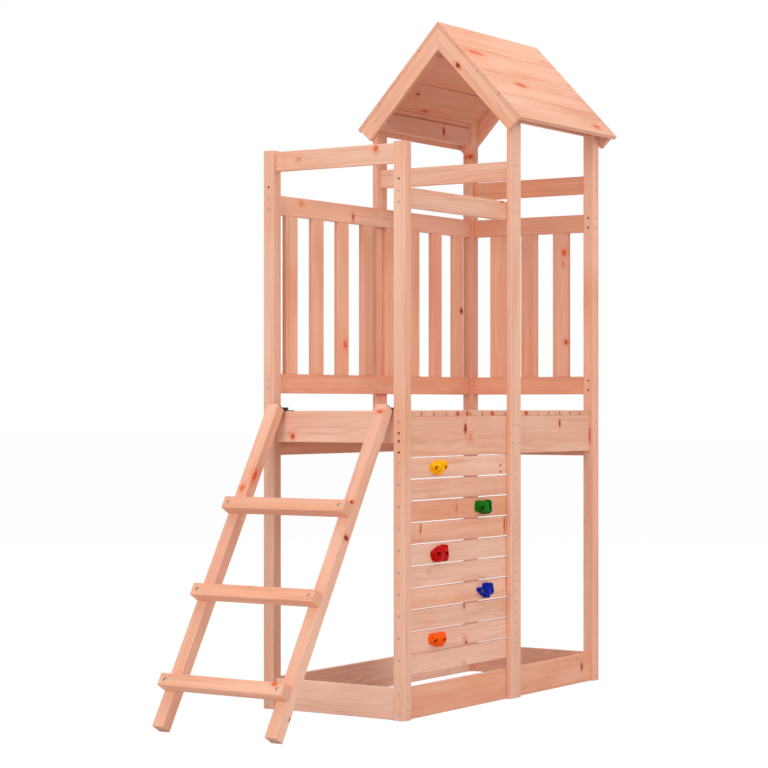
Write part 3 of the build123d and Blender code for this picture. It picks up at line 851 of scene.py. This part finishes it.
def setOut(name, shape, spots, finish, turn, seed):
    """A plain mesh of one piece of hardware at every spot, a list of (point, direction)."""
    points = bpy.data.meshes.new(name + ".points")
    points.from_pydata([point for point, out in spots], [], [])
    aims = points.attributes.new("aim", "FLOAT_VECTOR", "POINT")
    for i, (point, out) in enumerate(spots):
        aims.data[i].vector = out
    carrier = addObject(name + ".carrier", points)
    setter = carrier.modifiers.new("set", "NODES")
    setter.node_group = hardwareTree
    given = {"Piece": shape, "Turn": turn, "Scale": 1.0, "Seed": seed, "Finish": finish}
    for item in hardwareTree.interface.items_tree:
        if item.in_out == "INPUT" and item.name in given:
            setter[item.identifier] = given[item.name]
    mesh = settled(carrier, name)
    discard(carrier)
    return addObject(name, mesh, finish)


def starRing(bm, centre, out, outer, inner, count=12):
    turn = out.to_track_quat("Z", "Y")
    return [bm.verts.new(centre + turn @ Vector((
        (outer if i % 2 else inner) * math.cos(2 * math.pi * i / count),
        (outer if i % 2 else inner) * math.sin(2 * math.pi * i / count), 0))) for i in range(count)]


def socketHead(name, profile, socket, count=12):
    """A turned head with a star or hex socket. The profile runs from the tip up to the rim."""
    bm = bmesh.new()
    up = Vector((0, 0, 1))
    rings = [ringOf(bm, up * height, up, radius, count) for height, radius in profile]
    bm.faces.new(list(reversed(rings[0])))
    sleeve(bm, rings)
    mouthHeight = profile[-1][0] + socket["rise"]
    mouth = starRing(bm, up * mouthHeight, up, socket["outer"], socket["inner"], count)
    floor = starRing(bm, up * (mouthHeight - socket["depth"]), up, socket["outer"] * 0.95, socket["inner"] * 0.95, count)
    sleeve(bm, [rings[-1], mouth, floor])
    bm.faces.new(floor)
    bmesh.ops.recalc_face_normals(bm, faces=bm.faces)
    return addObject(name, meshFrom(name, bm))


def nutShape(name, width, height, washerRadius=0.0, washerHeight=0.0, hole=4 * mm):
    """A hex nut, its corners eased, standing on its washer. Z points away from the wood."""
    bm = bmesh.new()
    up = Vector((0, 0, 1))
    corner = width / math.sqrt(3)
    if washerRadius:
        outer = [ringOf(bm, up * z, up, r, 24) for z, r in (
            (0, washerRadius), (washerHeight * 0.7, washerRadius), (washerHeight, washerRadius * 0.97))]
        inner = [ringOf(bm, up * z, up, hole, 24) for z in (washerHeight, 0)]
        sleeve(bm, outer + inner + [outer[0]])
    profile = [(0.0, 0.93), (0.12, 1.0), (0.88, 1.0), (1.0, 0.93)]
    rings = [ringOf(bm, up * (washerHeight + height * z), up, corner * s, 6) for z, s in profile]
    bore = [ringOf(bm, up * (washerHeight + height * z), up, hole, 6) for z in (1, 0)]
    sleeve(bm, rings + bore + [rings[0]])
    bmesh.ops.recalc_face_normals(bm, faces=bm.faces)
    return addObject(name, meshFrom(name, bm))


screwShape = socketHead(
    "screw.shape",
    [(-6 * mm, 1.9 * mm), (-2.9 * mm, 2.2 * mm), (-0.5 * mm, screwPlan["headRadius"]), (0, screwPlan["headRadius"] * 0.97)],
    {"outer": 2.1 * mm, "inner": 1.45 * mm, "depth": 1.7 * mm, "rise": 0.1 * mm},
)
spots = [(point - out * screwPlan["sunk"], out) for name in sorted(screws) for point, out in screws[name]]
woodScrews = setOut("wood_screws", screwShape, spots, zincSteel, 2 * math.pi, 5)
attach(woodScrews, "root")
print("screws set:", len(spots))

# bolts through the ladder, sunk in the steps
bolt = {"head": 6.5 * mm, "dome": 4.5 * mm, "shank": 4 * mm, "recess": 5 * mm, "through": 0.0965,
        "seatOut": 0.090, "feet": (0.128, 0.463, 0.798)}
alongStile = Vector((math.sin(lean), 0, math.cos(lean)))
outOfSteps = Vector((-math.cos(lean), 0, math.sin(lean)))
stileLow, stileHigh = nodeBox("right_stile")
stileY = (stileLow.y + stileHigh.y) / 2
# the back of the stiles meets the ground on this line
footLine = Vector((stileLow.x + tower["post"] * math.cos(lean), 0, 0))
boltSpots, nutSpots = [], []
for foot in bolt["feet"]:
    for y in (stileY, -stileY):
        spot = footLine + alongStile * (foot + halfPost) + Vector((0, y, 0))
        boltSpots.append((spot + outOfSteps * (bolt["seatOut"] - bolt["recess"]), outOfSteps))
        nutSpots.append((spot, -outOfSteps))
boltShape = socketHead(
    "bolt.shape",
    [(-bolt["through"], bolt["shank"] * 0.85), (-bolt["through"] + 1 * mm, bolt["shank"]), (-0.01 * mm, bolt["shank"]),
     (0, bolt["head"] * 0.98), (1.6 * mm, bolt["head"]), (3.4 * mm, bolt["head"] * 0.82)],
    {"outer": 2.9 * mm, "inner": 2.55 * mm, "depth": 2.6 * mm, "rise": 0.7 * mm}, count=24,
)
ladderBolts = setOut("ladder_bolts_turned", boltShape, boltSpots, zincSteel, 2.0, 8)
ladderNuts = setOut("ladder_nuts_turned", nutShape("nut.shape", 13 * mm, 6.5 * mm, 11 * mm, 2 * mm),
                    nutSpots, zincSteel, 1.0, 9)

# bolts of the climbing holds, and the nuts behind the wall
wallFace = nodeBox("wall_board_01")[0].y
wallBack = nodeBox("wall_board_01")[1].y
holdBoltSpots, holdNutSpots = [], []
holdPlan = {"spacing": 0.022, "seat": 0.012}
holdMiddle = {}
for color in ("yellow", "green", "red", "blue", "orange"):
    low, high = nodeBox(color + "_hold")
    nearest = min(wallBoards, key=lambda board: abs(middleHeight(board) - (low.z + high.z) / 2))
    holdMiddle[color] = Vector(((low.x + high.x) / 2, wallFace, middleHeight(nearest)))
    for dx in (-holdPlan["spacing"], holdPlan["spacing"]):
        spot = holdMiddle[color] + Vector((dx, 0, 0))
        holdBoltSpots.append((spot + Vector((0, -holdPlan["seat"], 0)), Vector((0, -1, 0))))
        holdNutSpots.append((Vector((spot.x, wallBack, spot.z)), Vector((0, 1, 0))))
holdBoltShape = socketHead(
    "holdBolt.shape",
    [(-41.5 * mm, 3.4 * mm), (-40.5 * mm, 4 * mm), (-0.01 * mm, 4 * mm), (0, 6.4 * mm), (5 * mm, 6.5 * mm), (6 * mm, 6 * mm)],
    {"outer": 3.2 * mm, "inner": 2.8 * mm, "depth": 3.5 * mm, "rise": 0.0}, count=24,
)
holdBolts = setOut("hold_bolts_turned", holdBoltShape, holdBoltSpots, blackSteel, 2.0, 12)
holdNuts = setOut("hold_nuts_turned", nutShape("holdNut.shape", 13 * mm, 6.5 * mm), holdNutSpots, zincSteel, 1.0, 13)
for piece, node in ((ladderBolts, "ladder_bolts"), (ladderNuts, "ladder_nuts"),
                    (holdBolts, "hold_bolts"), (holdNuts, "hold_nuts")):
    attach(piece, "root")
    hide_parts(node)
for thing in [o for o in bpy.data.objects if o.name.endswith(".shape")]:
    discard(thing)
print("bolts and nuts set")


# ---- climbing holds: lumps of plastic, each blended from a few rounded blobs
# a blob is its middle and its half sizes, in mm: along the wall, up, out of the wall

holdShapes = {
    "yellow": {
        "color": srgb(255, 182, 0), "dark": srgb(214, 132, 0),
        "blobs": [((-2, 0, 4), (36, 22, 12)), ((5, 2, 13), (28, 19, 17)), ((26, 8, 15), (14, 16, 17)),
                  ((-27, 1, 8), (11, 11, 12)), ((6, -14, 12), (14, 11, 14)), ((17, 15, 12), (23, 9, 15))],
        "cuts": [((-26, -11, 8), (-0.70, -0.62, 0.35)), ((-18, 14, 10), (-0.36, 0.90, 0.25)),
                 ((36, -12, 18), (0.75, -0.62, 0.2))],
    },
    "green": {
        "color": srgb(2, 106, 2), "dark": srgb(0, 56, 0),
        "blobs": [((0, -1, 4), (37, 22, 11)), ((-3, 1, 14), (23, 22, 17)), ((-20, 12, 10), (16, 13, 14)),
                  ((34, 12, 12), (6, 14, 17)), ((15, -16, 13), (16, 10, 15)), ((26, -7, 15), (13, 14, 17))],
        "cuts": [((-14, -16, 8), (-0.25, -0.93, 0.25)), ((-34, 10, 12), (-0.80, 0.35, 0.45))],
    },
    "red": {
        "color": srgb(190, 6, 2), "dark": srgb(112, 0, 0),
        "blobs": [((0, 0, 5), (37, 26, 12)), ((2, 1, 15), (26, 24, 16)), ((33, 20, 13), (6, 10, 15)),
                  ((27, -5, 15), (12, 20, 17)), ((-9, -19, 10), (14, 10, 13)), ((-24, 3, 9), (14, 18, 13)),
                  ((30, -20, 13), (9, 9, 14))],
        "cuts": [((-12, 15, 10), (-0.36, 0.90, 0.25)), ((-29, -16, 8), (-0.75, -0.60, 0.28))],
    },
    "blue": {
        "color": srgb(0, 32, 164), "dark": srgb(0, 10, 84),
        "blobs": [((0, -2, 5), (24, 13, 11)), ((-27, 2, 8), (13, 11, 10)), ((5, -2, 14), (17, 16, 17)),
                  ((19, 14, 13), (18, 13, 17)), ((28, -2, 13), (11, 15, 17)), ((11, -18, 12), (8, 10, 14)),
                  ((-9, -11, 9), (10, 8, 11))],
        "cuts": [((-14, -13, 8), (-0.55, -0.78, 0.3)), ((32, -16, 14), (0.72, -0.66, 0.2))],
    },
    "orange": {
        "color": srgb(255, 92, 0), "dark": srgb(210, 54, 0),
        "blobs": [((-2, 0, 5), (36, 22, 12)), ((0, 2, 14), (25, 20, 16)), ((-14, 12, 11), (21, 12, 14)),
                  ((33, 15, 12), (6, 10, 14)), ((26, -2, 14), (13, 16, 17)), ((13, -16, 12), (14, 9, 14))],
        "cuts": [((-15, -15, 8), (-0.34, -0.90, 0.26)), ((31, -12, 16), (0.80, -0.55, 0.25))],
    },
}
holdFinish = {"voxel": 1.5 * mm, "smoothing": 3, "lump": 1.0 * mm, "recess": 7 * mm, "bore": 4.25 * mm,
              "squareness": 4.2}    # 2 would make each blob an egg, more makes it a block


def sliced(bm, place, facing):
    # everything on the facing side of a plane goes, and the cut is closed
    cut = bmesh.ops.bisect_plane(bm, geom=bm.verts[:] + bm.edges[:] + bm.faces[:], plane_co=place,
                                 plane_no=facing, clear_outer=True, dist=1e-6)
    rim = [e for e in cut["geom_cut"] if isinstance(e, bmesh.types.BMEdge)]
    bmesh.ops.holes_fill(bm, edges=rim, sides=0)


def makeHold(color, shape):
    middle = holdMiddle[color]
    bm = bmesh.new()
    for (along, up, out), (halfAlong, halfUp, halfOut) in shape["blobs"]:
        made = bmesh.ops.create_icosphere(bm, subdivisions=4, radius=1.0)["verts"]
        for vert in made:
            power = holdFinish["squareness"]
            vert.co /= sum(abs(part) ** power for part in vert.co) ** (1 / power)
            vert.co = Vector((
                (along + vert.co.x * halfAlong) * mm,
                -(out + vert.co.z * halfOut) * mm,
                (up + vert.co.y * halfUp) * mm,
            ))
    bmesh.ops.recalc_face_normals(bm, faces=bm.faces)
    for (along, up, out), (alongTilt, upTilt, outTilt) in shape["cuts"]:
        sliced(bm, (along * mm, -out * mm, up * mm), (alongTilt, -outTilt, upTilt))
    lump = addObject(color + ".lump", meshFrom(color + ".lump", bm))
    melt = lump.modifiers.new("melt", "REMESH")
    melt.mode, melt.voxel_size = "VOXEL", holdFinish["voxel"]
    soften = lump.modifiers.new("soften", "SMOOTH")
    soften.factor, soften.iterations = 0.6, holdFinish["smoothing"]
    bm = bmesh.new()
    bm.from_mesh(settled(lump, color + ".soft"))
    discard(lump)
    # shallow dents and pads, as in a cast lump of rock
    dice = random.Random(len(color) * 7 + 3)
    pads = [(Vector((dice.uniform(-38, 38), -dice.uniform(8, 32), dice.uniform(-26, 26))) * mm,
             dice.uniform(5, 10) * mm, dice.choice((-1, 1))) for _ in range(26)]
    bm.normal_update()
    for vert in bm.verts:
        push = sum(sign * math.exp(-((vert.co - spot).length / radius) ** 2) for spot, radius, sign in pads)
        vert.co += vert.normal * push * holdFinish["lump"]
    # sawn flat where it lies on the wall
    sliced(bm, (0, 0, 0), (0, 1, 0))
    body = addObject(color + ".body", meshFrom(color + ".body", bm))
    bm = bmesh.new()
    out = Vector((0, -1, 0))
    for dx in (-holdPlan["spacing"], holdPlan["spacing"]):
        spot = Vector((dx, 0, 0))
        plug(bm, spot, out, [(-5 * mm, holdFinish["bore"]), (holdPlan["seat"], holdFinish["bore"]),
                             (holdPlan["seat"] + 0.01 * mm, holdFinish["recess"]), (50 * mm, holdFinish["recess"])], count=28)
    bmesh.ops.recalc_face_normals(bm, faces=bm.faces)
    cutter = addObject(color + ".cutter", meshFrom(color + ".cutter", bm))
    cutting = body.modifiers.new("cut", "BOOLEAN")
    cutting.operation, cutting.solver, cutting.object = "DIFFERENCE", "EXACT", cutter
    mesh = settled(body, color + "_hold_cast")
    discard(body, cutter)
    mesh.transform(Matrix.Translation(middle))
    hold = addObject(color + "_hold_cast", mesh, makePlastic(color + "Plastic", shape["color"], shape["dark"]))
    mesh.polygons.foreach_set("use_smooth", [True] * len(mesh.polygons))
    mesh.set_sharp_from_angle(angle=math.radians(40))
    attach(hold, "root")
    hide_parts(color + "_hold")
    return hold


for color, shape in holdShapes.items():
    makeHold(color, shape)
print("holds cast")


# ---- camera, light and backdrop

shot = {"place": (-6.7611, -4.4733, 1.0849), "turn": -56.3, "lens": 104.59, "shift": 0.0264}
camera = bpy.data.objects.new("camera", bpy.data.cameras.new("camera"))
bpy.context.scene.collection.objects.link(camera)
camera.location = shot["place"]
camera.rotation_euler = (math.radians(90), 0, math.radians(shot["turn"]))
camera.data.sensor_width, camera.data.lens, camera.data.shift_y = 36, shot["lens"], shot["shift"]
camera.data.clip_end = 200
bpy.context.scene.camera = camera

lights = {
    "top": {"place": (-0.6, -0.8, 6.5), "aim": (0, 0, 0.6), "size": 5.0, "power": 132},
    "right": {"place": (0.8, -7.5, 4.2), "aim": (0, 0, 1.2), "size": 4.0, "power": 178},
    "back": {"place": (5.5, 6.5, 3.8), "aim": (0, 0, 1.1), "size": 5.0, "power": 188},
    "front": {"place": (-7.8, -1.2, 3.1), "aim": (0, 0, 0.7), "size": 4.0, "power": 256},
}
for name, light in lights.items():
    lamp = bpy.data.lights.new(name, "AREA")
    lamp.shape, lamp.size, lamp.energy = "SQUARE", light["size"], light["power"]
    thing = bpy.data.objects.new(name, lamp)
    bpy.context.scene.collection.objects.link(thing)
    thing.location = light["place"]
    thing.rotation_euler = (Vector(light["aim"]) - Vector(light["place"])).to_track_quat("-Z", "Y").to_euler()


def seenByCamera(tree):
    """1 for rays that show the backdrop: from the camera, or by a mirror or glass."""
    rays = put(tree, "ShaderNodeLightPath").outputs
    return maths(tree, "ADD", rays["Is Camera Ray"],
                 maths(tree, "ADD", rays["Is Glossy Ray"], rays["Is Transmission Ray"]), clamp=True)


backdrop = {"ambient": 0.515, "floorShare": 0.94, "floorGlow": 1.03, "floorTone": 0.68}
world = bpy.data.worlds.new("studio")
world.use_nodes = True
tree = world.node_tree
background = tree.nodes["Background"]
background.inputs["Color"].default_value = (1, 1, 1, 1)
strength = ramped(tree, seenByCamera(tree), 0, 1, backdrop["ambient"], 1.0, kind="LINEAR")
tree.links.new(strength, background.inputs["Strength"])
bpy.context.scene.world = world

floorMaterial = bpy.data.materials.new("paleFloor")
floorMaterial.use_nodes = True
tree = floorMaterial.node_tree
tree.nodes.remove(tree.nodes["Principled BSDF"])
matte = put(tree, "ShaderNodeBsdfDiffuse", {"Color": (backdrop["floorTone"],) * 3 + (1,)})
glow = put(tree, "ShaderNodeEmission", {"Color": (1, 1, 1, 1), "Strength": backdrop["floorGlow"]})
share = maths(tree, "MULTIPLY", seenByCamera(tree), backdrop["floorShare"])
mixed = put(tree, "ShaderNodeMixShader", {0: share, 1: matte.outputs[0], 2: glow.outputs[0]})
tree.links.new(mixed.outputs[0], tree.nodes["Material Output"].inputs["Surface"])
bm = bmesh.new()
bmesh.ops.create_grid(bm, x_segments=1, y_segments=1, size=60)
floor = addObject("floor", meshFrom("floor", bm), floorMaterial)
floor.data.transform(Matrix.Translation((0, 0, -0.0005)))
bpy.context.scene.view_settings.view_transform = "Standard"
print("camera, light and floor ready")
